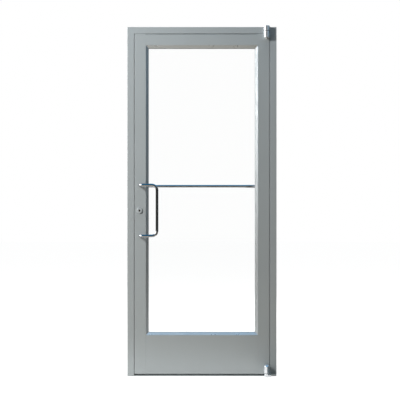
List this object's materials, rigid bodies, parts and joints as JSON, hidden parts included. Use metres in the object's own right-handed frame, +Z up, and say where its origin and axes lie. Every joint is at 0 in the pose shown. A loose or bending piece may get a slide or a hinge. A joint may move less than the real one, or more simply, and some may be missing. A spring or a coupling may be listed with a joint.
{
  "type": "aluminium commercial door",
  "caption": "Glazed aluminium entrance door in its frame, with offset pivots, tall bottom rail, pull handle, push bar and deadlock.",
  "frame": {"origin": "on the floor, in the middle of the frame's width and depth", "axes": "+X from the lock side to the pivot side, +Y from the outside face to the inside, +Z up"},
  "size_m": [1.0032, 0.1837, 2.3495],
  "materials": {
    "aluminium": "satin anodised",
    "bead_aluminium": "satin anodised",
    "polished_metal": "polished",
    "bright_steel": "satin bright",
    "plated_steel": "zinc plated",
    "glass": "clear",
    "seal_rubber": "matte black",
    "bearing_plastic": "matte black"
  },
  "bodies": {
    "frame": {"jamb_left": "aluminium", "jamb_right": "aluminium", "header": "aluminium", "frame_screws": "plated_steel", "threshold": "aluminium", "stop_left": "aluminium", "stop_right": "aluminium", "stop_header": "aluminium", "seal_left": "seal_rubber", "seal_right": "seal_rubber", "seal_header": "seal_rubber", "strike_plate": "bright_steel", "strike_screws": "plated_steel", "top_pivot_bracket": "polished_metal", "top_pivot_pin": "bright_steel", "top_pivot_washer": "bearing_plastic", "bottom_pivot_base": "polished_metal", "bottom_pivot_spindle": "bright_steel", "bottom_pivot_bearing": "bearing_plastic", "frame_pivot_backers": "plated_steel", "frame_pivot_screws": "plated_steel"},
    "leaf": {"lock_stile": "aluminium", "pivot_stile": "aluminium", "top_rail": "aluminium", "bottom_rail": "aluminium", "corner_blocks": "aluminium", "tie_rods": "plated_steel", "tie_rod_nuts": "plated_steel", "glass_pane": "glass", "gasket_outside": "seal_rubber", "gasket_inside": "seal_rubber", "setting_blocks": "seal_rubber", "bead_outside_left": "bead_aluminium", "bead_outside_right": "bead_aluminium", "bead_outside_top": "bead_aluminium", "bead_outside_bottom": "bead_aluminium", "bead_inside_left": "bead_aluminium", "bead_inside_right": "bead_aluminium", "bead_inside_top": "bead_aluminium", "bead_inside_bottom": "bead_aluminium", "pull_handle": "polished_metal", "push_bar": "polished_metal", "bar_studs": "plated_steel", "bar_insert": "plated_steel", "lock_case": "plated_steel", "lock_faceplate": "bright_steel", "lock_brackets": "plated_steel", "lock_screws": "plated_steel", "cylinder_body": "bright_steel", "cylinder_ring": "bright_steel", "thumb_turn_body": "bright_steel", "top_pivot_arm": "polished_metal", "bottom_pivot_arm": "polished_metal", "door_pivot_backers": "plated_steel", "door_pivot_screws": "plated_steel"},
    "bolt": {"lock_bolt": "bright_steel"},
    "plug": {"cylinder_plug": "bright_steel", "cylinder_cam": "plated_steel"},
    "thumb": {"thumb_turn": "bright_steel", "thumb_turn_cam": "plated_steel"}
  },
  "joints": [
    {"name": "leaf_swing", "type": "hinge", "parent": "frame", "child": "leaf", "pos_m": [0.433, -0.07915, 1.15], "axis": [0, 0, 1], "range_deg": [0, 175]},
    {"name": "bolt_throw", "type": "hinge", "parent": "leaf", "child": "bolt", "pos_m": [-0.4378, -0.03492, 1.145], "axis": [0, -1, 0], "range_deg": [0, 90]},
    {"name": "thumb_turning", "type": "hinge", "parent": "leaf", "child": "thumb", "pos_m": [-0.42, -0.0127, 1.114], "axis": [0, -1, 0], "range_deg": [0, 360]},
    {"name": "key_turning", "type": "hinge", "parent": "leaf", "child": "plug", "pos_m": [-0.42, -0.05715, 1.114], "axis": [0, 1, 0], "range_deg": [-360, 360]}
  ],
  "couplings": [
    {"joint": "thumb_turning", "follows": "bolt_throw", "ratio": 4}
  ]
}
